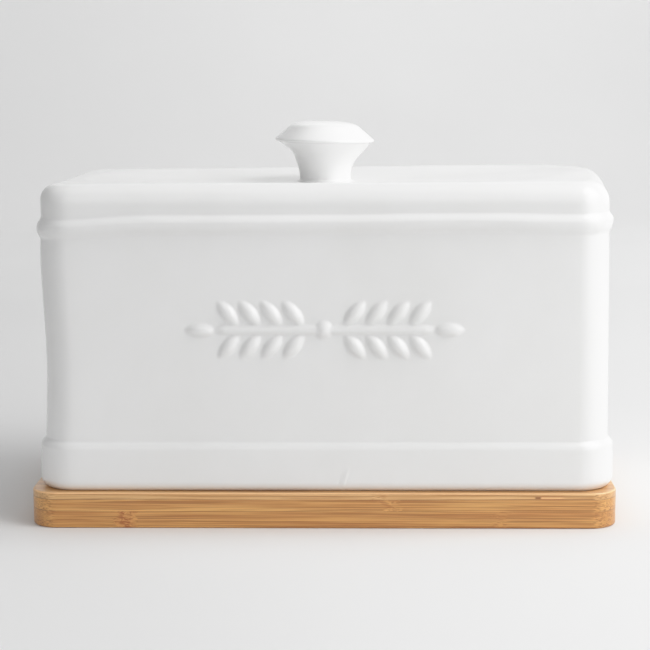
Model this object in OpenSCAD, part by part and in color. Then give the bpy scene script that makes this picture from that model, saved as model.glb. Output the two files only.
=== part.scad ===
// Bread bin: a glazed ceramic cover with a knob, standing on a glued bamboo board.
// The origin is at the middle of the board's underside. X is the width, -Y is the front, +Z is up.

/* [Board] */
// Width of the board
board_w = 340; // [300:1:400]
// Depth of the board
board_d = 188; // [170:1:230]
// Radius of the board's round corners, seen from above
board_corner_r = 16; // [8:1:22]
// Radius of the board's eased edges
board_edge_r = 1.2; // [0.6:0.1:1.5]
// Thickness of the bottom layer of strips
bottom_ply = 10; // [8:0.5:12]
// Thickness of the core layer of strips
core_ply = 7; // [5:0.5:9]
// Thickness of the top layer of strips at the board's rim
top_ply = 4; // [3:0.5:6]
// Height of the raised middle that keeps the cover in place
platform_h = 2.5; // [1.5:0.5:4]
// Gap between the raised middle and the inside of the cover
platform_gap = 2; // [1:0.5:4]
// Number of strips across the top layer and the bottom layer
strip_count = 9; // [7:2:11]

/* [Cover] */
// Ledge of the board left bare around the cover's skirt
ledge = 2; // [1:0.5:5]
// Height of the cover, from the board to its flat top edge
cover_h = 177; // [140:1:200]
// Thickness of the ceramic
shell_t = 6.5; // [5:0.5:8]
// Radius of the wall's upright corners
corner_r = 19; // [17:1:30]
// Radius of the rounded top edge
top_edge_r = 12; // [8:0.5:15]
// Depth of the hollow that the top has sagged into
sag = 4; // [2:0.5:5]

/* [Skirt and bead] */
// Height of the thicker skirt, with its shoulder
skirt_h = 29; // [22:1:36]
// How far the skirt stands out from the wall
skirt_out = 3; // [2:0.5:5]
// Radius of the skirt's rounded shoulder
shoulder_r = 5; // [3.5:0.5:6]
// Radius of the skirt's rounded lower edge
foot_r = 7; // [5:0.5:11]
// Height of the middle of the bead above the board
bead_z = 156.5; // [120:0.5:160]
// Height of the bead
bead_h = 10.5; // [8:0.5:12]
// How far the bead stands out from the wall
bead_out = 2.3; // [1.5:0.1:3]

/* [Knob] */
// Radius of the knob's rim
rim_r = 30; // [26:0.5:34]
// Radius of the knob's waist
waist_r = 15.6; // [13:0.2:18]
// Height of the knob above the hollow of the top
knob_h = 36.5; // [32:0.5:42]

/* [Motif] */
// Length of one grain of the wheat ears
grain_l = 24; // [18:1:28]
// Thickness of one grain
grain_t = 9.4; // [7:0.2:10]
// How far the motif stands out from the wall
relief = 2.2; // [1.5:0.1:2.5]
// Height of the middle of the motif above the board
motif_z = 94; // [85:1:100]

/* [Hidden] */
$fn = 64;
board_t = bottom_ply + core_ply + top_ply;
skirt_w = board_w - 2 * ledge;
skirt_d = board_d - 2 * ledge;
wall_w = skirt_w - 2 * skirt_out;
wall_d = skirt_d - 2 * skirt_out;
inner_r = corner_r - shell_t;
cover_top = board_t + cover_h;
knob_base = cover_top - sag;
// How far the cover's straight stretches run each way from the middle
run_x = wall_w / 2 - corner_r;
run_y = wall_d / 2 - corner_r;
// The hollow of the top is the underside of a long capsule with this radius
hollow_half = wall_d / 2 - top_edge_r;
hollow_r = (pow(hollow_half, 2) + pow(sag, 2)) / (2 * sag);
hollow_run = wall_w / 2 - top_edge_r - hollow_half;
// The bead is part of a circle of this radius
bead_r = (pow(bead_h / 2, 2) + pow(bead_out, 2)) / (2 * bead_out);
// How far the rounded lower edge is cut off below, which leaves a flat foot to stand on
foot_drop = 0.8;
// Knob outline, from its foot up: heights above the hollow of the top
knob_foot_r = waist_r + 1.6;
foot_points = [[0, 0], [knob_foot_r, 0], [waist_r + 0.9, 1], [waist_r + 0.25, 2.2]];
waist_z = 3.5;
flare_r = rim_r - 2;
flare_z = knob_h - 12.5;
rim_z = knob_h - 11;
rim_edge_r = 1.3;
shoulder_top_r = rim_r - 8.4;
shoulder_z = knob_h - 3.3;
dome_steps = 12;
flare_steps = 16;
// Depth of one strip, and the raised middle of the board
strip_d = board_d / strip_count;
platform_w = wall_w - 2 * (shell_t + platform_gap);
platform_d = wall_d - 2 * (shell_t + platform_gap);
platform_r = inner_r - platform_gap;
// Wheat ears: pairs of grains, their spacing along the stalk and their lean away from it
pair_count = 4;
pair_pitch = 12.5;
first_pair_x = 10;
grain_lean = 50;
grain_off = 0.4;
stalk_r = 3;
stalk_relief = 1.5;
tie_r = 7;

cover_nodes = ["cover", "knob"];
top_nodes = [for (i = [1:strip_count]) str("top_strip_", i)];
core_nodes = [for (i = [1:strip_count + 1]) str("core_strip_", i)];
bottom_nodes = [for (i = [1:strip_count]) str("bottom_strip_", i)];

// Sweeps an outline round a rounded rectangle. The outline's X is the distance out from the
// corner's centre, and its Y is the height.
module around(w, d, r) {
    half_w = w / 2 - r;
    half_d = d / 2 - r;
    corners = [[half_w, half_d], [-half_w, half_d], [-half_w, -half_d], [half_w, -half_d]];
    for (i = [0:3]) {
        translate(corners[i]) rotate([0, 0, 90 * i]) rotate_extrude(angle = 90) children();
        reach = i % 2 == 0 ? half_w : half_d;
        run = i % 2 == 0 ? half_d : half_w;
        rotate([0, 0, 90 * i]) translate([reach, run, 0]) rotate([90, 0, 0])
            linear_extrude(height = 2 * run) children();
    }
}

// A flat plate with round corners, standing on z = 0
module plate(w, d, r, h) {
    half_w = w / 2 - r;
    half_d = d / 2 - r;
    linear_extrude(height = h) union() {
        square([w, 2 * half_d], center = true);
        square([2 * half_w, d], center = true);
        for (sx = [-1, 1], sy = [-1, 1])
            translate([sx * half_w, sy * half_d]) circle(r = r);
    }
}

// ---- Cover ----

// The top edge: a quarter ring, and the start of the flat top
module top_outline() {
    centre_x = corner_r - top_edge_r;
    translate([centre_x, cover_top - top_edge_r]) intersection() {
        difference() {
            circle(r = top_edge_r);
            circle(r = top_edge_r - shell_t);
        }
        square([corner_r, corner_r]);
    }
    translate([0, cover_top - shell_t]) square([centre_x, shell_t]);
}

// The skirt: a thick band with a rounded foot and a rounded shoulder
module skirt_outline() {
    outer = corner_r + skirt_out;
    foot_z = board_t + foot_r - foot_drop;
    shoulder_centre = board_t + skirt_h - shoulder_r;
    translate([inner_r, foot_z]) square([outer - inner_r, shoulder_centre - foot_z]);
    translate([inner_r, shoulder_centre]) square([outer - shoulder_r - inner_r, shoulder_r]);
    translate([outer - shoulder_r, shoulder_centre]) circle(r = shoulder_r);
    intersection() {
        translate([outer - foot_r, foot_z]) circle(r = foot_r);
        translate([inner_r, board_t]) square([foot_r, foot_r]);
    }
}

module bead_outline() {
    intersection() {
        translate([corner_r + bead_out - bead_r, board_t + bead_z]) circle(r = bead_r);
        translate([inner_r + 1, board_t + bead_z - bead_r]) square(2 * bead_r);
    }
}

module cover_outline() {
    translate([inner_r, board_t + skirt_h / 2]) square([shell_t, cover_h - skirt_h / 2 - top_edge_r]);
    top_outline();
    skirt_outline();
    bead_outline();
}

// The hollow that the top has sagged into: everything above it is open
module hollow(drop) {
    translate([0, 0, cover_top - sag + hollow_r - drop]) {
        rotate([0, 90, 0]) cylinder(h = 2 * hollow_run, r = hollow_r, center = true, $fn = 360);
        for (s = [-1, 1])
            translate([s * hollow_run, 0, 0]) sphere(r = hollow_r, $fn = 360);
    }
}

// One grain of wheat, half sunk in the wall, with its foot on the stalk
module grain(lean) {
    half = grain_l / 2;
    arc_r = (pow(half, 2) + pow(grain_t / 2, 2)) / grain_t;
    rotate([0, lean, 0]) translate([0, 0, half]) rotate_extrude(angle = 360, $fn = 48) intersection() {
        translate([grain_t / 2 - arc_r, 0]) circle(r = arc_r, $fn = 180);
        translate([0, -half]) square([grain_t, grain_l]);
    }
}

// One wheat ear along +X, in the plane of the wall
module wheat_ear() {
    for (i = [0:pair_count - 1], side = [-1, 1])
        translate([first_pair_x + i * pair_pitch, 0, side * grain_off]) grain(90 - side * grain_lean);
    translate([first_pair_x + pair_count * pair_pitch - grain_off, 0, 0]) grain(90);
    translate([0, relief - stalk_relief + stalk_r - grain_t / 2, 0]) rotate([0, 90, 0])
        cylinder(h = first_pair_x + pair_count * pair_pitch, r = stalk_r);
}

// Two wheat ears, stalk to stalk, raised from the front wall and cut off inside its thickness
module motif() {
    sink = grain_t / 2 - relief;
    intersection() {
        translate([0, sink - wall_d / 2, board_t + motif_z]) {
            wheat_ear();
            mirror([1, 0, 0]) wheat_ear();
            translate([0, tie_r - grain_t / 2, 0]) sphere(r = tie_r);
        }
        translate([-run_x, (shell_t - wall_d) / 2 - corner_r, board_t])
            cube([2 * run_x, corner_r, cover_h]);
    }
}

module cover() {
    color("white") {
        difference() {
            union() {
                around(wall_w, wall_d, corner_r) cover_outline();
                translate([-run_x, -run_y, cover_top - shell_t]) cube([2 * run_x, 2 * run_y, shell_t]);
                intersection() {
                    hollow(shell_t);
                    translate([-run_x, -hollow_half, cover_top - shell_t - sag - 1])
                        cube([2 * run_x, 2 * hollow_half, sag + 2]);
                }
            }
            hollow(0);
            translate([0, 0, knob_base]) cylinder(h = 2 * sag, r = knob_foot_r);
        }
        motif();
    }
}

// ---- Knob ----

function flare(z) = waist_r + (flare_r - waist_r) * pow((z - waist_z) / (flare_z - waist_z), 2);
flare_points = [for (i = [0:flare_steps])
    let (z = waist_z + i * (flare_z - waist_z) / flare_steps)
    [flare(z), z]];
rim_points = [for (a = [-50:20:50]) [rim_r - rim_edge_r + rim_edge_r * cos(a), rim_z + rim_edge_r * sin(a)]];
dome_points = [for (i = [0:dome_steps])
    let (a = 90 * i / dome_steps)
    [shoulder_top_r * cos(a), shoulder_z + (knob_h - shoulder_z) * sin(a)]];

module knob() {
    color("white") translate([0, 0, knob_base]) rotate_extrude()
        polygon(concat(foot_points, flare_points, rim_points, dome_points));
}

// ---- Board ----

module board_outline() {
    square([board_corner_r - board_edge_r, board_t]);
    translate([0, board_edge_r]) square([board_corner_r, board_t - 2 * board_edge_r]);
    for (z = [board_edge_r, board_t - board_edge_r])
        translate([board_corner_r - board_edge_r, z]) circle(r = board_edge_r);
}

// The whole board before it is divided into strips
module board_blank() {
    half_w = board_w / 2 - board_corner_r;
    half_d = board_d / 2 - board_corner_r;
    around(board_w, board_d, board_corner_r) board_outline();
    translate([-half_w, -half_d, 0]) cube([2 * half_w, 2 * half_d, board_t]);
    plate(platform_w, platform_d, platform_r, board_t + platform_h);
}

// The part of the board between two depths and two heights
module strip(y0, y1, z0, z1, tone) {
    color(tone) intersection() {
        board_blank();
        translate([-board_w, y0, z0]) cube([2 * board_w, y1 - y0, z1 - z0]);
    }
}

function strip_y(i) = -board_d / 2 + i * strip_d;

module top_strip(i) {
    z0 = bottom_ply + core_ply;
    strip(strip_y(i - 1), strip_y(i), z0, board_t + platform_h, i % 2 == 0 ? "burlywood" : "tan");
}

// The core is shifted by half a strip, so its outer strips are half as deep
module core_strip(i) {
    y0 = max(strip_y(i - 1.5), -board_d / 2);
    y1 = min(strip_y(i - 0.5), board_d / 2);
    strip(y0, y1, bottom_ply, bottom_ply + core_ply, i % 2 == 0 ? "tan" : "burlywood");
}

module bottom_strip(i) {
    strip(strip_y(i - 1), strip_y(i), 0, bottom_ply, i % 2 == 0 ? "peru" : "burlywood");
}

cover();
knob();
for (i = [1:strip_count]) {
    top_strip(i);
    bottom_strip(i);
}
for (i = [1:strip_count + 1])
    core_strip(i);
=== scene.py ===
"""Bread bin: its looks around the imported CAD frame.

Shapes are worked out in millimetres in the row frame, +X right, -Y front and +Z up, and
go into Blender in metres. Sizes come from the frame's boxes and from the named values.
"""

import math
import random

import bmesh
import bpy
import numpy as np
from mathutils import Matrix, Vector


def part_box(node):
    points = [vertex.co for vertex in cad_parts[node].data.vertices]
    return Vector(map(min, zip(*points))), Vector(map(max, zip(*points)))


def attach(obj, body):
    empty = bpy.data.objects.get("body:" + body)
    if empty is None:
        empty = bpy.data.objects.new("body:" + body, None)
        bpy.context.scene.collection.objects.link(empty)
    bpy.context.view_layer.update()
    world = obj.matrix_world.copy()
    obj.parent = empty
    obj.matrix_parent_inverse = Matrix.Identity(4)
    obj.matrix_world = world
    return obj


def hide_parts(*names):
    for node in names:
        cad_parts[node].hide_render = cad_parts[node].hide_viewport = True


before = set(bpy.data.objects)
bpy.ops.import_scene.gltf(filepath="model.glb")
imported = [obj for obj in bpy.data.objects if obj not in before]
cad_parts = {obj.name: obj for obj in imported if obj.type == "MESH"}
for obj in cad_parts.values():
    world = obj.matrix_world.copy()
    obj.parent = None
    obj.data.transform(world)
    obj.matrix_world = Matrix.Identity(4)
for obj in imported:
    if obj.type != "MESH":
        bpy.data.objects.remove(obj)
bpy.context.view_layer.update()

MM = 0.001

# ---- Sizes in millimetres, from the frame ----


def box_mm(node):
    """Lowest and highest corner of a CAD node, in millimetres."""
    return [np.array(corner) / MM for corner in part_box(node)]


COVER_LO, COVER_HI = box_mm("cover")
KNOB_LO, KNOB_HI = box_mm("knob")
TOP_STRIPS = sorted(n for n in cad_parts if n.startswith("top_strip"))
CORE_STRIPS = sorted(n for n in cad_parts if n.startswith("core_strip"))
BOTTOM_STRIPS = sorted(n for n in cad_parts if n.startswith("bottom_strip"))

BASE_Z = COVER_LO[2]
TOP_Z = COVER_HI[2]
SKIRT_OUT = 3.0
SHELL_T = 6.5
CORNER_R = 19.0
HALF_W = COVER_HI[0] - SKIRT_OUT
HALF_D = COVER_HI[1] - SKIRT_OUT
TOP_EDGE_R = 12.0
END_EDGE_R = 7.0
SAG = TOP_Z - KNOB_LO[2]
# The cover stands a little to the right of the board's middle
COVER_SHIFT = 1.1

# Skirt: heights above the base
SHOULDER_Z = 24.0
SHOULDER_R = 5.0
FOOT_R = 7.0
FOOT_DROP = 0.8
# Chamfer along the inner edge of the foot
FOOT_CHAMFER = 0.8

# Height of the bare clay above the base
BARE_FOOT_H = 0.25

# Bead
BEAD_Z = BASE_Z + 155.3
BEAD_ABOVE = 4.2
BEAD_BELOW = 6.6
BEAD_OUT = 2.3

# How widely the shoulder and the bead run into the wall, and the grains into each other
# and into the wall
SHOULDER_BLEND = 1.1
BEAD_BLEND = 0.9
GRAIN_BLEND = 0.8
MOTIF_BLEND = 0.9

# Mesh: row and column spacing, and the heights above the base with finer rows
COARSE_STEP = 4.0
FINE_STEP = 0.6
SHOULDER_ROWS = (24, 33)
BEAD_ROWS = (140, 161.5)
INNER_EDGE_R = 7.0

# Motif: two wheat ears, stalk to stalk
MOTIF_Z = BASE_Z + 94
PAIR_COUNT = 4
PAIR_PITCH = 12.5
FIRST_PAIR = 10.0
GRAIN_L = 24.0
GRAIN_T = 9.4
GRAIN_OFF = 0.4
GRAIN_LEAN = math.radians(50)
RELIEF = 2.2
STALK_R = 3.0
STALK_RELIEF = 1.5
TIE_R = 7.0
TIE_RELIEF = 2.35
MOTIF_HALF_W = 87.0
MOTIF_HALF_H = 27.0
# Cuts across each face of the wall there
MOTIF_CUTS = 5


def smooth_max(a, b, blend):
    """The larger of two values, with a round transition where they are within blend."""
    share = np.clip(0.5 + 0.5 * (a - b) / blend, 0, 1)
    return b + (a - b) * share + blend * share * (1 - share)


def smooth_step(value, start, end):
    """0 before start, 1 after end, and a smooth rise between them."""
    t = np.clip((value - start) / (end - start), 0, 1)
    return t * t * (3 - 2 * t)


def new_object(name, bm):
    """Puts a bmesh made in millimetres into the scene as a smooth object in metres."""
    bmesh.ops.recalc_face_normals(bm, faces=bm.faces)
    bm.transform(Matrix.Scale(MM, 4))
    mesh = bpy.data.meshes.new(name)
    bm.to_mesh(mesh)
    bm.free()
    mesh.shade_smooth()
    made = bpy.data.objects.new(name, mesh)
    bpy.context.scene.collection.objects.link(made)
    return made


def grid_faces(bm, rows, closed=True):
    """Joins rows of vertices into quads. Each row runs once around the shape."""
    for low, high in zip(rows, rows[1:]):
        count = len(low)
        for i in range(count if closed else count - 1):
            j = (i + 1) % count
            corners = [low[i], low[j], high[j], high[i]]
            unique = [v for k, v in enumerate(corners) if v is not corners[k - 1]]
            if len(unique) > 2:
                bm.faces.new(unique)


# ---- Cover ----


def perimeter():
    """Columns around the wall: for each, its point on the wall and its outward direction."""
    straight_x = HALF_W - CORNER_R
    straight_y = HALF_D - CORNER_R
    corner_steps = 14
    columns = []
    # Front, right, back and left: half the straight run, and its distance from the middle
    sides = [(straight_x, straight_y), (straight_y, straight_x)] * 2
    for turn, (run, reach) in enumerate(sides):
        angle = math.radians(90 * turn)
        out = np.array([math.sin(angle), -math.cos(angle)])
        along = np.array([math.cos(angle), math.sin(angle)])
        count = 2 * round(run / COARSE_STEP)
        for i in range(count):
            place = -run + 2 * run * i / count
            columns.append((along * place + out * (reach + CORNER_R), out))
        corner = along * run + out * reach
        for i in range(corner_steps):
            bend = angle + math.radians(90 * i / corner_steps)
            direction = np.array([math.sin(bend), -math.cos(bend)])
            columns.append((corner + direction * CORNER_R, direction))
    points = np.array([point for point, _ in columns])
    outward = np.array([direction for _, direction in columns])
    return points, outward


def top_height(x, y):
    """Height of the cover's top, which has sagged between its edges."""
    reach = HALF_D - TOP_EDGE_R
    spine = HALF_W - TOP_EDGE_R - reach
    away = np.hypot(np.maximum(np.abs(x) - spine, 0), y)
    sagged = SAG * np.clip(1 - (away / reach) ** 2, 0, 1)
    return TOP_Z - sagged


def bead_out(x, z):
    """How far the bead stands out. It is steeper above, and droops more at its left end."""
    left_end = smooth_step(-x, 146, 165)
    droop = 2.4 * smooth_step(-x, 100, 150) + 1.1 * left_end
    droop += 1.0 * smooth_step(x, 90, 145) - 0.6 * smooth_step(x, 0, 70)
    up = z - (BEAD_Z - droop)
    share = np.where(up > 0, up / (BEAD_ABOVE + 1.4 * left_end), up / (BEAD_BELOW - 0.8 * left_end))
    out = BEAD_OUT + 0.6 * smooth_step(np.abs(x), 160, 120)
    return out * (1 - share**2)


def wall_out(x, z):
    """How far the outside stands out from the plain wall, between the foot and the top edge."""
    over = np.clip(z - BASE_Z - SHOULDER_Z, 0, SHOULDER_R)
    skirt = SKIRT_OUT - SHOULDER_R + np.sqrt(SHOULDER_R**2 - over**2)
    skirt = np.where(z - BASE_Z - SHOULDER_Z > SHOULDER_R, -SHOULDER_R, skirt)
    skirt = smooth_max(skirt, 0, SHOULDER_BLEND)
    return smooth_max(skirt, bead_out(x, z), BEAD_BLEND)


def outer_rows():
    """The foot's rows as (offset, height above the base), and the heights of the wall's rows."""
    rows = [(-SHELL_T + FOOT_CHAMFER, 0.0), (-SHELL_T + 2.2, 0.0)]
    centre = SKIRT_OUT - FOOT_R
    lowest = math.acos((FOOT_R - FOOT_DROP) / FOOT_R)
    foot_steps = 12
    for i in range(foot_steps + 1):
        angle = lowest + (math.pi / 2 - lowest) * i / foot_steps
        rise = FOOT_R - FOOT_DROP - FOOT_R * math.cos(angle)
        rows.append((centre + FOOT_R * math.sin(angle), rise))
    heights = np.concatenate(
        [
            np.linspace(13, SHOULDER_ROWS[0] - 1, 4),
            np.arange(*SHOULDER_ROWS, FINE_STEP),
            np.arange(SHOULDER_ROWS[1] + 2, BEAD_ROWS[0] - 1, COARSE_STEP),
            np.arange(*BEAD_ROWS, FINE_STEP),
        ]
    )
    return rows, BASE_Z + heights


def edge_radius(points, outward):
    """Radius of the top edge: smaller at the ends, and larger at the right front corner."""
    left_share = smooth_step(-outward[:, 0], 0.2, 1)
    right_share = smooth_step(outward[:, 0], 0.2, 1)
    left_r = END_EDGE_R + 2
    right_r = END_EDGE_R + 7 * smooth_step(-points[:, 1], 35, 85)
    radius = TOP_EDGE_R + (left_r - TOP_EDGE_R) * left_share
    return radius + (right_r - TOP_EDGE_R) * right_share


def cover_warp(x, y, z):
    """Small distortions that the cover took on in the kiln, as shifts along X and Z."""
    # The left end is drawn in half way up and again at the top
    left = 0.4 + 2.3 * math.exp(-(((z - 95) / 42) ** 2)) + 1.3 * smooth_step(z, 150, 185)
    # The right end leans in, less so at its back
    right = 0.3 + 0.0115 * max(z - 45, 0) * smooth_step(-y, -70, 60)
    shift = -left * x / HALF_W if x < 0 else -right * x / HALF_W
    high = smooth_step(z, 150, 190)
    # The top runs down towards its left end and its left back corner
    middle = math.exp(-((y / 55) ** 2))
    lift = -(0.3 + 1.2 * middle) * smooth_step(-x, 118, 160)
    lift += 0.8 * smooth_step(y, 20, 80) * min(max(x / 100, -1), 1)
    # Its right end is lifted in the middle
    lift += 3.2 * math.exp(-(((y + 8) / 46) ** 2)) * smooth_step(x, 0, 165)
    lift -= 1.0 * smooth_step(y, 40, 80) * smooth_step(x, 135, 155)
    return shift + COVER_SHIFT, lift * high


def grain_height(x, z, foot, lean):
    """Height of one grain above the wall."""
    along = (x - foot[0]) * math.cos(lean) + (z - foot[1]) * math.sin(lean) - GRAIN_L / 2
    across = -(x - foot[0]) * math.sin(lean) + (z - foot[1]) * math.cos(lean)
    bow = (GRAIN_L**2 / 4 + GRAIN_T**2 / 4) / GRAIN_T
    radius = GRAIN_T / 2 - bow + np.sqrt(np.clip(bow**2 - along**2, 0, None))
    radius = np.clip(radius, 0, None)
    return np.sqrt(np.clip(radius**2 - across**2, 0, None)) - (GRAIN_T / 2 - RELIEF)


def motif_height(x, z):
    """Height of the wheat ears above the wall at a point of the front."""
    x = np.abs(x)
    z = z - MOTIF_Z
    height = np.full(x.shape, -1.0)
    tip = FIRST_PAIR + PAIR_COUNT * PAIR_PITCH
    grains = [((tip - GRAIN_OFF, 0), 0)]
    for i in range(PAIR_COUNT):
        for side in (-1, 1):
            grains.append(((FIRST_PAIR + i * PAIR_PITCH, side * GRAIN_OFF), side * GRAIN_LEAN))
    for foot, lean in grains:
        height = smooth_max(height, grain_height(x, z, foot, lean), GRAIN_BLEND)
    stalk = np.sqrt(np.clip(STALK_R**2 - z**2, 0, None)) - (STALK_R - STALK_RELIEF)
    stalk = stalk - 2.5 * smooth_step(x, tip - 3, tip + 9)
    tie = np.sqrt(np.clip(TIE_R**2 - x**2 - z**2, 0, None)) - (TIE_R - TIE_RELIEF)
    height = smooth_max(smooth_max(height, stalk, GRAIN_BLEND), tie, GRAIN_BLEND)
    return smooth_max(height, 0, MOTIF_BLEND)


def make_cover():
    """The cover: the outside, the inside, the wheat ears, and then its distortions."""
    points, outward = perimeter()
    count = len(points)
    bm = bmesh.new()

    def ring(offset, height):
        """One row of vertices at an offset from the wall. Each may vary around the ring."""
        xy = points + outward * np.broadcast_to(offset, count)[:, None]
        z = np.broadcast_to(height, count)
        return [bm.verts.new(p) for p in np.column_stack([xy, z])]

    foot, heights = outer_rows()
    rows = [ring(-SHELL_T, BASE_Z + FOOT_CHAMFER)]
    rows += [ring(offset, BASE_Z + rise) for offset, rise in foot]
    for z in heights:
        rows.append(ring(wall_out(points[:, 0], z), z))
    edge_r = edge_radius(points, outward)
    last = heights[-1]
    gap_steps = 6
    for i in range(1, gap_steps):
        z = last + (TOP_Z - edge_r - last) * i / gap_steps
        rows.append(ring(wall_out(points[:, 0], z), z))
    edge_steps = 14
    for i in range(edge_steps + 1):
        angle = math.radians(90 * i / edge_steps)
        z = TOP_Z - edge_r * (1 - math.sin(angle))
        inward = edge_r * (1 - math.cos(angle))
        rows.append(ring(wall_out(points[:, 0], z) - inward, z))
    rows += cap(bm, points, outward, offset=-edge_r, drop=0.0, steps=14)
    grid_faces(bm, rows)

    # The inside: straight walls and a round edge to the underside of the top
    inner = [rows[0]]
    for z in np.linspace(BASE_Z + 6, TOP_Z - SHELL_T - INNER_EDGE_R, 12):
        inner.append(ring(-SHELL_T, z))
    inner_steps = 7
    for i in range(1, inner_steps + 1):
        angle = math.radians(90 * i / inner_steps)
        inward = SHELL_T + INNER_EDGE_R * (1 - math.cos(angle))
        drop = SHELL_T + INNER_EDGE_R * (1 - math.sin(angle))
        inner.append(ring(-inward, TOP_Z - drop))
    inner += cap(bm, points, outward, offset=-SHELL_T - INNER_EDGE_R, drop=SHELL_T, steps=10)
    grid_faces(bm, inner)
    bmesh.ops.remove_doubles(bm, verts=bm.verts, dist=1e-4)
    raise_motif(bm)
    for v in bm.verts:
        dx, dz = cover_warp(*v.co)
        v.co.x += float(dx)
        v.co.z += float(dz)
    return new_object("cover_shell", bm)


def cap(bm, points, outward, offset, drop, steps):
    """Rows that run from a ring at an offset in to a line along the middle of the top."""
    edge = points + outward * np.broadcast_to(offset, len(points))[:, None]
    spine = HALF_W - HALF_D
    target = np.column_stack([np.clip(points[:, 0], -spine, spine), np.zeros(len(points))])
    rows = []
    for i in range(1, steps + 1):
        share = i / steps
        xy = edge + (target - edge) * share
        z = top_height(xy[:, 0], xy[:, 1]) - drop
        rows.append([bm.verts.new((x, y, h)) for (x, y), h in zip(xy, z)])
    return rows


def raise_motif(bm):
    """Divides the middle of the front finely and raises the wheat ears from it."""

    def in_patch(face):
        c = face.calc_center_median()
        near = abs(c.x) < MOTIF_HALF_W and abs(c.z - MOTIF_Z) < MOTIF_HALF_H
        return near and c.y < -HALF_D + 0.5

    faces = [f for f in bm.faces if in_patch(f)]
    edges = list({e for f in faces for e in f.edges})
    bmesh.ops.subdivide_edges(bm, edges=edges, cuts=MOTIF_CUTS, use_grid_fill=True)
    front = [v for v in bm.verts if abs(v.co.y + HALF_D) < 0.01 and abs(v.co.x) < MOTIF_HALF_W + 3]
    x = np.array([v.co.x for v in front])
    z = np.array([v.co.z for v in front])
    for v, height in zip(front, motif_height(x, z)):
        v.co.y -= float(height)


# ---- Knob ----


def knob_profile():
    """(radius, height above the hollow of the top) from the sunk foot up to the middle."""
    rim_r = KNOB_HI[0]
    height = KNOB_HI[2] - KNOB_LO[2]
    waist_r, waist_z = 15.6, 2.0
    flare_r, flare_z, flare_power = rim_r - 1.5, height - 12.3, 2.2
    fillet_steps, neck_steps, bevel_steps, dome_steps = 7, 20, 6, 20
    # A fillet of glaze where the knob meets the top
    fillet, fillet_z = 1.6, 0.4
    sunk_z = -1.5
    outline = [(0.0, sunk_z), (waist_r + fillet, sunk_z)]
    for i in range(fillet_steps + 1):
        angle = math.radians(90 * i / fillet_steps)
        radius = waist_r + fillet * (1 - math.sin(angle))
        outline.append((radius, fillet_z + fillet * (1 - math.cos(angle))))
    for i in range(1, neck_steps + 1):
        z = waist_z + (flare_z - waist_z) * i / neck_steps
        share = (z - waist_z) / (flare_z - waist_z)
        outline.append((waist_r + (flare_r - waist_r) * share**flare_power, z))
    edge_r, edge_z = 1.1, height - 11.3
    for degrees in range(-50, 51, 10):
        angle = math.radians(degrees)
        radius = rim_r - edge_r + edge_r * math.cos(angle)
        outline.append((radius, edge_z + edge_r * math.sin(angle)))
    # The bevel rises at 45 degrees and rounds over into the flat dome
    bevel = outline[-1]
    shoulder = (rim_r - 8.0, height - 3.9)
    for i in range(1, bevel_steps):
        share = i / bevel_steps
        outline.append(tuple(a + (b - a) * share for a, b in zip(bevel, shoulder)))
    curve = [shoulder, (rim_r - 10.3, height - 1.5), (rim_r - 16, height), (0.0, height)]
    for i in range(dome_steps + 1):
        t = i / dome_steps
        weights = [(1 - t) ** 3, 3 * t * (1 - t) ** 2, 3 * t * t * (1 - t), t**3]
        outline.append(tuple(sum(w * p[axis] for w, p in zip(weights, curve)) for axis in (0, 1)))
    return outline


def make_knob():
    """The knob, turned around its axis and then pushed slightly out of true."""
    bm = bmesh.new()
    turns = 112
    rows = []
    for radius, z in knob_profile():
        if radius < 0.01:
            rows.append([bm.verts.new((0, 0, z))] * turns)
            continue
        ring = []
        for i in range(turns):
            angle = 2 * math.pi * i / turns
            ring.append(bm.verts.new((radius * math.cos(angle), radius * math.sin(angle), z)))
        rows.append(ring)
    grid_faces(bm, rows)
    # Thrown by hand: the rim is a little lower on the right, where the flare is fuller. The
    # tilt lifts the dome by tilt_rise, which is taken off again.
    tilt = math.tan(math.radians(1.3))
    tilt_rise = 0.06
    bulge, bulge_z, bulge_half_h = 1.6, 18, 5
    rim_shift = -0.45
    for v in bm.verts:
        share = float(smooth_step(v.co.z, 4, 20))
        v.co.z -= tilt * v.co.x * share
        full = math.exp(-(((v.co.z - bulge_z) / bulge_half_h) ** 2))
        v.co.x += bulge * full + rim_shift * share
    bm.transform(Matrix.Translation((0, 0, KNOB_LO[2] - tilt_rise)))
    return new_object("cover_knob", bm)


# ---- Board ----

# How far a strip's sharp arrises are broken
ARRIS = 0.05


def make_strip(node):
    """A strip of bamboo with its arrises just broken, from the CAD strip's shape."""
    bm = bmesh.new()
    bm.from_mesh(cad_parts[node].data)
    bm.transform(Matrix.Scale(1 / MM, 4))
    bmesh.ops.remove_doubles(bm, verts=bm.verts, dist=0.002)
    bmesh.ops.dissolve_limit(bm, angle_limit=math.radians(0.4), verts=bm.verts, edges=bm.edges)
    folded = [e for e in bm.edges if len(e.link_faces) == 2]
    sharp = [e for e in folded if e.calc_face_angle() > math.radians(35)]
    bmesh.ops.bevel(
        bm, geom=sharp, offset=ARRIS, segments=2, profile=0.5, affect="EDGES", clamp_overlap=True
    )
    made = new_object(node.replace("strip", "slat"), bm)
    made.data.set_sharp_from_angle(angle=math.radians(50))
    flat = made.modifiers.new("flat_faces", "WEIGHTED_NORMAL")
    flat.keep_sharp = True
    return made


# ---- Materials ----


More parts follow.
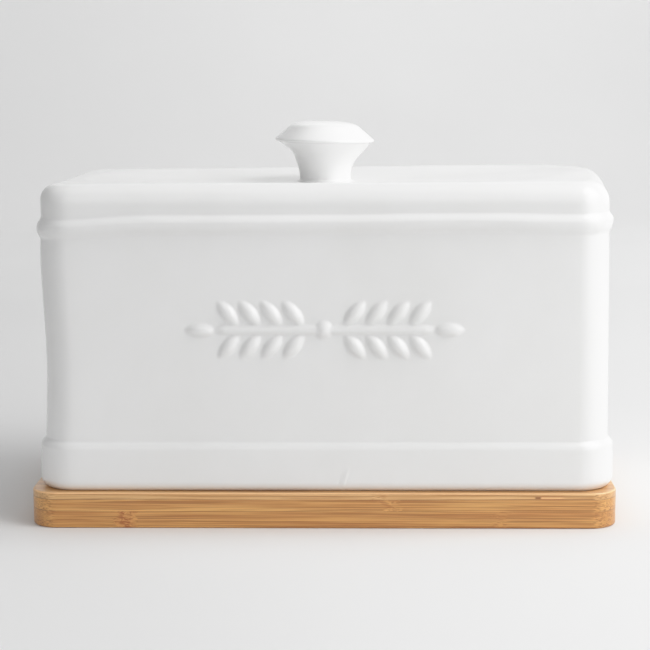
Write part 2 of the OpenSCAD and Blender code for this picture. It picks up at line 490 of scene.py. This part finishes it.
class Graph:
    """Adds shader nodes to a new material. An input is a number, a colour or an output."""

    def __init__(self, name):
        self.material = bpy.data.materials.new(name)
        self.material.use_nodes = True
        self.tree = self.material.node_tree
        self.tree.nodes.clear()

    def node(self, kind, inputs, **settings):
        made = self.tree.nodes.new("ShaderNode" + kind)
        for key, value in settings.items():
            setattr(made, key, value)
        for key, value in inputs.items():
            if isinstance(value, bpy.types.NodeSocket):
                self.tree.links.new(value, made.inputs[key])
            else:
                made.inputs[key].default_value = value
        return made

    def math(self, operation, a, b=0.0):
        return self.node("Math", {0: a, 1: b}, operation=operation).outputs[0]

    def vector(self, operation, a, b):
        return self.node("VectorMath", {0: a, 1: b}, operation=operation).outputs[0]

    def mix(self, share, a, b):
        made = self.node("Mix", {0: share}, data_type="RGBA", blend_type="MIX", clamp_factor=True)
        for slot, value in ((6, a), (7, b)):
            if isinstance(value, bpy.types.NodeSocket):
                self.tree.links.new(value, made.inputs[slot])
            else:
                made.inputs[slot].default_value = value
        return made.outputs[2]

    def rise(self, value, start, end, low=0.0, high=1.0):
        """Maps start..end to low..high, smoothly and clamped."""
        inputs = {0: value, 1: start, 2: end, 3: low, 4: high}
        return self.node("MapRange", inputs, interpolation_type="SMOOTHSTEP").outputs[0]

    def noise(self, place, scale, detail=2.0, roughness=0.5):
        """Noise between about 0 and 1. scale gives cells per metre along X, Y and Z."""
        scaled = self.vector("MULTIPLY", place, scale)
        inputs = {"Vector": scaled, "Scale": 1.0, "Detail": detail, "Roughness": roughness}
        return self.node("TexNoise", inputs).outputs[0]

    def finish(self, shader_inputs):
        shader = self.node("BsdfPrincipled", shader_inputs)
        self.node("OutputMaterial", {0: shader.outputs[0]})
        return self.material


def seam_height(g, place):
    """Height in metres of a short slanting ridge on the front of the skirt, left by the mould."""
    lean, foot_x, seam_out = 0.29, 0.0047, 0.0009
    x, y, z = g.node("SeparateXYZ", {0: place}).outputs[:]
    line_x = g.math("ADD", g.math("MULTIPLY", z, lean), foot_x)
    away = g.math("SUBTRACT", x, line_x)
    ridge = g.math("MULTIPLY", g.rise(away, -0.0035, 0.0, 0, 1), g.rise(away, 0.0, 0.0016, 1, 0))
    fade = g.math("MULTIPLY", g.rise(z, 0.031, 0.037, 1, 0), g.rise(y, -0.05, -0.04, 1, 0))
    return g.math("MULTIPLY", g.math("MULTIPLY", ridge, fade), seam_out)


def glaze(name, seed, foot_z, white_and_painted_light, seam=False):
    """Soft white glaze with faint pooling and waviness, and a bare clay foot below foot_z. Where
    its white level is set above the cover's, as on the knob, the extra white is painted light.
    """
    g = Graph(name)
    place = g.node("TexCoord", {}).outputs["Object"]
    moved = g.vector("ADD", place, (seed * 0.37, seed * 0.11, 0))
    pool = g.noise(moved, (14, 14, 9), detail=3)
    pooled = (0.965 * white_and_painted_light, 0.965 * white_and_painted_light, 0.957 * white_and_painted_light, 1)
    tint = g.mix(g.rise(pool, 0.3, 0.7), pooled, (white_and_painted_light, white_and_painted_light, 0.998 * white_and_painted_light, 1))
    height = g.node("SeparateXYZ", {0: place}).outputs[2]
    grit = g.noise(place, (1500, 1500, 1500), detail=1)
    ragged = g.math("ADD", height, g.math("MULTIPLY", grit, 0.0006))
    bare = g.rise(ragged, foot_z, foot_z + 0.0004, 1, 0)
    clay = g.mix(grit, (0.62, 0.55, 0.45, 1), (0.74, 0.68, 0.58, 1))
    colour = g.mix(bare, tint, clay)
    roughness = g.rise(bare, 0, 1, 0.3, 0.85)
    ripple = g.noise(moved, (95, 95, 95), detail=2)
    swell = g.math("ADD", g.math("MULTIPLY", ripple, 0.00006), g.math("MULTIPLY", pool, 0.0005))
    if seam:
        swell = g.math("ADD", swell, seam_height(g, place))
    bump = g.node("Bump", {"Strength": 0.35, "Distance": 1.0, "Height": swell}).outputs[0]
    return g.finish(
        {
            "Base Color": colour,
            "Roughness": roughness,
            "Normal": bump,
            "IOR": 1.5,
            "Coat Weight": 0.8,
            "Coat Roughness": 0.22,
            "Coat IOR": 1.5,
        }
    )


def knot_mask(g, x, own, knots):
    """1 inside a knot, a short stretch with a ragged edge, and 0 away from it."""
    edge = g.math("MULTIPLY", g.math("SUBTRACT", g.noise(own, (120, 260, 260), 3), 0.5), 0.012)
    ragged = g.math("ADD", x, edge)
    knot = 0.0
    for middle, strength in knots:
        away = g.math("ABSOLUTE", g.math("SUBTRACT", ragged, middle * MM))
        knot = g.math("MAXIMUM", knot, g.rise(away, 0.0015, 0.0072, strength, 0))
    return knot


def bend_fibres(g, own, knot):
    """Places along the fibres, which wander a little and swirl in a knot."""
    swirl = g.node("TexNoise", {"Vector": own, "Scale": 220.0, "Detail": 1.0}).outputs[1]
    swirl = g.vector("SUBTRACT", swirl, (0.5, 0.5, 0.5))
    slow = g.vector("MULTIPLY", own, (7, 45, 45))
    wander = g.node("TexNoise", {"Vector": slow, "Scale": 1.0}).outputs[1]
    wander = g.vector("SUBTRACT", wander, (0.5, 0.5, 0.5))
    bend = g.vector("MULTIPLY", wander, (0, 0.0016, 0.0016))
    knot_vector = g.node("CombineXYZ", {0: knot, 1: knot, 2: knot}).outputs[0]
    swirl = g.vector("MULTIPLY", swirl, (0, 0.006, 0.006))
    bend = g.vector("ADD", bend, g.vector("MULTIPLY", swirl, knot_vector))
    return g.vector("ADD", own, bend)


def dent_marks(g, colour, x, z, dents, redder, pale, dark):
    """Each dent is a dark spot with a pale trail and a reddish rim along the fibres."""
    for dent_x, dent_z in dents:
        along = g.math("SUBTRACT", x, dent_x * MM)
        across = g.math("ABSOLUTE", g.math("SUBTRACT", z, dent_z * MM))
        behind = g.rise(along, 0.012, 0.018, 1, 0)
        beside = g.math("MULTIPLY", g.rise(along, 0.0, 0.002), behind)
        rim = g.math("MULTIPLY", beside, g.rise(across, 0.0006, 0.0013, 1, 0))
        colour = g.mix(g.math("MULTIPLY", rim, 0.6), colour, redder)
        trail = g.math("MULTIPLY", beside, g.rise(across, 0.0003, 0.0006, 1, 0))
        colour = g.mix(trail, colour, pale)
        length = g.rise(g.math("ABSOLUTE", along), 0.0008, 0.0024, 1, 0)
        spot = g.math("MULTIPLY", length, g.rise(across, 0.0003, 0.0009, 1, 0))
        colour = g.mix(spot, colour, tinted(dark, (0.55, 0.42, 0.32)))
    return colour


def glue_lines(g, y, z, own, end, joints_y, joints_z):
    """How strongly the glue line shows where strips meet. It is fainter in places."""
    gap = 1.0
    for axis, planes in ((y, joints_y), (z, joints_z)):
        for plane in planes:
            away = g.math("ABSOLUTE", g.math("SUBTRACT", axis, plane * MM))
            gap = g.math("MINIMUM", gap, away)
    faint = g.rise(g.noise(own, (15, 15, 15), 3, 0.6), 0.45, 0.66, 0.05, 0.6)
    faint = g.math("MAXIMUM", faint, g.math("MULTIPLY", end, 0.4))
    return g.math("MULTIPLY", g.rise(gap, 0.00012, 0.00045, 1, 0), faint)


def tinted(colour, factors):
    """A colour with its red, green and blue multiplied, each at most 1."""
    return tuple(min(1.0, c * f) for c, f in zip(colour[:3], factors)) + (1,)


def bamboo(name, seed, light, dark, knots, dents, joints_y, joints_z, span_z):
    """A strip of bamboo with fibres along X, which show as dots on its ends."""
    rng = random.Random(seed)
    shift = tuple(rng.uniform(-3, 3) for _ in range(3))
    end_tone = rng.uniform(0.78, 1.06)
    skin_up = rng.random() < 0.5
    pale = tinted(light, (1.16, 1.16, 1.22))
    # Colour of the painted highlight on the upper rounded arrises
    arris_highlight = tinted(light, (1.25, 1.25, 1.5))
    deep = tinted(dark, (0.66, 0.55, 0.42))
    redder = tinted(dark, (0.78, 0.52, 0.36))
    fibre_colour = tinted(dark, (0.62, 0.5, 0.4))
    glue = tinted(dark, (0.35, 0.28, 0.2))
    plain = tuple(end_tone * (0.6 * a + 0.4 * b) for a, b in zip(light[:3], dark[:3])) + (1,)

    g = Graph(name)
    coordinates = g.node("TexCoord", {})
    place = coordinates.outputs["Object"]
    own = g.vector("ADD", place, shift)
    x, y, z = g.node("SeparateXYZ", {0: place}).outputs[:]
    knot = knot_mask(g, x, own, knots)
    fibre_place = bend_fibres(g, own, knot)

    # Broad bands, streaks, hair lines and single fibres
    band = g.noise(fibre_place, (3.5, 190, 190), 3, 0.6)
    streak = g.noise(fibre_place, (14, 820, 820), 3, 0.65)
    hair = g.noise(fibre_place, (9, 1500, 1500), 2, 0.5)
    cell = g.vector("MULTIPLY", fibre_place, (22, 820, 820))
    dots = g.node("TexVoronoi", {"Vector": cell, "Scale": 1.0}, feature="F1").outputs[0]
    fibre = g.rise(dots, 0.14, 0.46, 1, 0)
    patch = g.rise(g.noise(own, (26, 300, 300), 2), 0.42, 0.62)
    tone = g.math("ADD", g.math("MULTIPLY", band, 0.5), g.math("MULTIPLY", streak, 0.7))
    colour = g.mix(g.rise(tone, 0.46, 0.72), light, dark)
    colour = g.mix(g.rise(hair, 0.44, 0.3, 0, 0.7), colour, pale)
    colour = g.mix(g.rise(hair, 0.53, 0.63, 0, 0.75), colour, deep)
    fibre_share = g.math("MULTIPLY", g.math("MULTIPLY", fibre, patch), 0.3)
    colour = g.mix(fibre_share, colour, fibre_colour)

    # End grain: dark dots that crowd together towards the stalk's skin
    normal = coordinates.outputs["Normal"]
    normal_x, _, normal_z = g.node("SeparateXYZ", {0: normal}).outputs[:]
    end = g.rise(g.math("ABSOLUTE", normal_x), 0.14, 0.5)
    colour = g.mix(g.math("MULTIPLY", end, 0.45), colour, plain)
    few, many = (0.55, 1.2) if skin_up else (1.2, 0.55)
    crowd = g.rise(z, span_z[0] * MM, span_z[1] * MM, few, many)
    dot = g.rise(g.math("DIVIDE", dots, crowd), 0.16, 0.44, 1, 0)
    dot_share = g.math("MULTIPLY", g.math("MULTIPLY", dot, end), 0.75)
    colour = g.mix(dot_share, colour, fibre_colour)

    # Knots are mottled pale and red
    mottle = g.noise(own, (170, 600, 600), 3, 0.75)
    pale_share = g.math("MULTIPLY", knot, g.rise(mottle, 0.62, 0.42, 0, 0.6))
    colour = g.mix(pale_share, colour, pale)
    knot_share = g.math("MULTIPLY", knot, g.rise(mottle, 0.46, 0.6, 0.15, 0.95))
    colour = g.mix(knot_share, colour, redder)
    colour = dent_marks(g, colour, x, z, dents, redder, pale, dark)

    # Painted highlight: the rounded arrises that tilt partly up are painted pale where light from
    # above catches them
    facing_up = g.rise(normal_z, 0.85, 0.98, 1, 0)
    painted_highlight_share = g.math("MULTIPLY", g.rise(normal_z, 0.1, 0.45), facing_up)
    colour = g.mix(g.math("MULTIPLY", painted_highlight_share, 0.7), colour, arris_highlight)
    line = glue_lines(g, y, z, own, end, joints_y, joints_z)
    colour = g.mix(line, colour, glue)

    roughness = g.rise(streak, 0.3, 0.7, 0.38, 0.52)
    streak_height = g.math("MULTIPLY", streak, 0.00008)
    relief = g.math("ADD", streak_height, g.math("MULTIPLY", fibre, -0.00004))
    bump = g.node("Bump", {"Strength": 0.5, "Distance": 1.0, "Height": relief}).outputs[0]
    return g.finish(
        {
            "Base Color": colour,
            "Roughness": roughness,
            "Normal": bump,
            "IOR": 1.5,
            "Coat Weight": 0.9,
            "Coat Roughness": 0.34,
        }
    )


# Knots of the strips that show at the front, as (X, strength)
FRONT_KNOTS = {
    "bottom_strip_1": ((-114.5, 1.0), (102.5, 0.25)),
    "core_strip_1": ((39.5, 0.4),),
    "top_strip_1": ((31.5, 0.25),),
}
# Small dents with a pale trail along the fibres, as (X, Z)
DENTS = {"top_strip_1": ((123.6, 18.2),)}
# Layer: (light colour, dark colour)
LAYER_COLOURS = {
    "top": ((0.84, 0.512, 0.215, 1), (0.65, 0.328, 0.11, 1)),
    "core": ((0.78, 0.43, 0.13, 1), (0.57, 0.255, 0.063, 1)),
    "bottom": ((0.69, 0.358, 0.1, 1), (0.51, 0.212, 0.05, 1)),
}


def strip_material(node, lo, hi):
    """The material of one strip, with its own tone, fibres and knots."""
    rng = random.Random(node)
    layer = node.split("_")[0]
    tone = 1 + rng.uniform(-0.06, 0.06)
    light, dark = [tuple(tone * c for c in colour[:3]) + (1,) for colour in LAYER_COLOURS[layer]]
    first = rng.uniform(-165, 20)
    knots = FRONT_KNOTS.get(node, ((first, 0.8), (first + rng.uniform(120, 200), 0.8)))
    board_lo, board_hi = board_box()
    joints_y = [y for y in (lo[1], hi[1]) if board_lo[1] + 1 < y < board_hi[1] - 1]
    joints_z = {"top": [lo[2]], "core": [lo[2], hi[2]], "bottom": [hi[2]]}[layer]
    dents = DENTS.get(node, ())
    span_z = (lo[2], hi[2])
    return bamboo(node + "_wood", node, light, dark, knots, dents, joints_y, joints_z, span_z)


def board_box():
    """Lowest and highest corner of the board's bottom layer, in millimetres."""
    boxes = [box_mm(n) for n in BOTTOM_STRIPS]
    return np.min([lo for lo, _ in boxes], axis=0), np.max([hi for _, hi in boxes], axis=0)


# ---- Stage ----

CAMERA_LENS = 94.28
CAMERA_PLACE = (0.0285, -1.046, 0.2644)
# Down, to the left, and about the line of sight
CAMERA_DEGREES = (8.698, 1.596, -0.312)
# Lamps as (name, place, target, (width, height), power)
OBJECT_MIDDLE = (0, 0, 0.1)
LAMPS = [
    ("key", (1.025, -0.275, 1.161), OBJECT_MIDDLE, (1.0, 1.0), 14.3),
    ("key_low", (1.171, -0.915, 0.45), OBJECT_MIDDLE, (1.1, 0.7), 4.2),
    ("front", (0, -2.2, 1.4), OBJECT_MIDDLE, (2.4, 1.6), 4.4),
    ("top", (0.1, 0.2, 2.0), OBJECT_MIDDLE, (2.0, 2.0), 4.0),
    ("back_right", (1.3, 1.2, 0.6), OBJECT_MIDDLE, (1.2, 0.9), 3.4),
    ("wall", (0.5, 1.2, 2.2), (0.5, 2.6, 1.6), (3.0, 0.8), 27),
]
AMBIENT = 0.38
# Points of the tone curve above its straight part, as (light, shown)
TONE_START = (0.82, 0.82)
TONE_SHOULDER = ((1.0, 0.93), (1.3, 0.985))
TONE_END = (2.0, 1.0)


def make_backdrop():
    """A pale floor that curves up into a wall far behind the object."""
    g = Graph("backdrop_paper")
    place = g.node("TexCoord", {}).outputs["Object"]
    shade = g.noise(place, (2, 2, 2), 2)
    colour = g.mix(g.rise(shade, 0.3, 0.7), (0.80, 0.80, 0.80, 1), (0.82, 0.82, 0.82, 1))
    material = g.finish({"Base Color": colour, "Roughness": 0.8, "Specular IOR Level": 0.1})
    near, bend_start, bend_r, top, half_width = -6000, 1700, 900, 3200, 6000
    line = [(near, 0), (bend_start, 0)]
    bend_steps = 16
    for i in range(1, bend_steps + 1):
        angle = math.radians(90 * i / bend_steps)
        line.append((bend_start + bend_r * math.sin(angle), bend_r * (1 - math.cos(angle))))
    line.append((bend_start + bend_r, top))
    bm = bmesh.new()
    rows = [[bm.verts.new((x, y, z)) for x in (-half_width, half_width)] for y, z in line]
    grid_faces(bm, rows, closed=False)
    made = new_object("backdrop", bm)
    made.data.materials.append(material)


def area_light(name, place, target, size, power):
    """A white lamp that the camera doesn't see. size is its width and height."""
    data = bpy.data.lights.new(name, "AREA")
    data.shape = "RECTANGLE"
    data.size, data.size_y = size
    data.energy = power
    made = bpy.data.objects.new(name, data)
    made.location = place
    made.rotation_euler = (Vector(target) - Vector(place)).to_track_quat("-Z", "Y").to_euler()
    made.visible_camera = False
    bpy.context.scene.collection.objects.link(made)


def make_lights():
    """Soft lamps, the strongest from the right, and an even light from all around."""
    for lamp in LAMPS:
        area_light(*lamp)
    world = bpy.data.worlds.new("studio")
    world.use_nodes = True
    background = world.node_tree.nodes["Background"]
    background.inputs[0].default_value = (1, 1, 1, 1)
    background.inputs[1].default_value = AMBIENT
    bpy.context.scene.world = world


def make_camera():
    """A long lens that looks slightly down from the front."""
    data = bpy.data.cameras.new("camera")
    data.sensor_width = 36
    data.lens = CAMERA_LENS
    data.clip_end = 50
    made = bpy.data.objects.new("camera", data)
    pitch, yaw, roll = [math.radians(a) for a in CAMERA_DEGREES]
    turn = Matrix.Rotation(yaw, 4, "Z") @ Matrix.Rotation(math.pi / 2 - pitch, 4, "X")
    turn = turn @ Matrix.Rotation(roll, 4, "Z")
    made.matrix_world = Matrix.Translation(CAMERA_PLACE) @ turn
    bpy.context.scene.collection.objects.link(made)
    bpy.context.scene.camera = made


def set_tone():
    """Plain tones, with a soft shoulder that keeps the brightest white from clipping."""
    view = bpy.context.scene.view_settings
    view.view_transform = "Standard"
    view.use_curve_mapping = True
    mapping = view.curve_mapping
    mapping.clip_max_x = TONE_END[0]
    curve = mapping.curves[3]
    curve.points[1].location = TONE_END
    for place in (TONE_START, *TONE_SHOULDER):
        curve.points.new(*place)
    for point in curve.points[:2]:
        point.handle_type = "VECTOR"
    mapping.update()


# ---- Scene ----

make_camera()
make_lights()
make_backdrop()

shell = make_cover()
clay_top = (BASE_Z + BARE_FOOT_H) * MM
shell.data.materials.append(glaze("cover_glaze", 1, clay_top, white_and_painted_light=0.9, seam=True))
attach(shell, "cover")
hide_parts("cover")

handle = make_knob()
# The knob's glaze is a whiter copy of the cover's glaze: the extra white is painted light on the
# knob
handle.data.materials.append(glaze("knob_glaze_painted_lighter", 2, 0, white_and_painted_light=0.98))
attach(handle, "cover")
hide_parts("knob")

for node in TOP_STRIPS + CORE_STRIPS + BOTTOM_STRIPS:
    piece = make_strip(node)
    piece.data.materials.clear()
    piece.data.materials.append(strip_material(node, *box_mm(node)))
    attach(piece, "board")
    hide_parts(node)

set_tone()
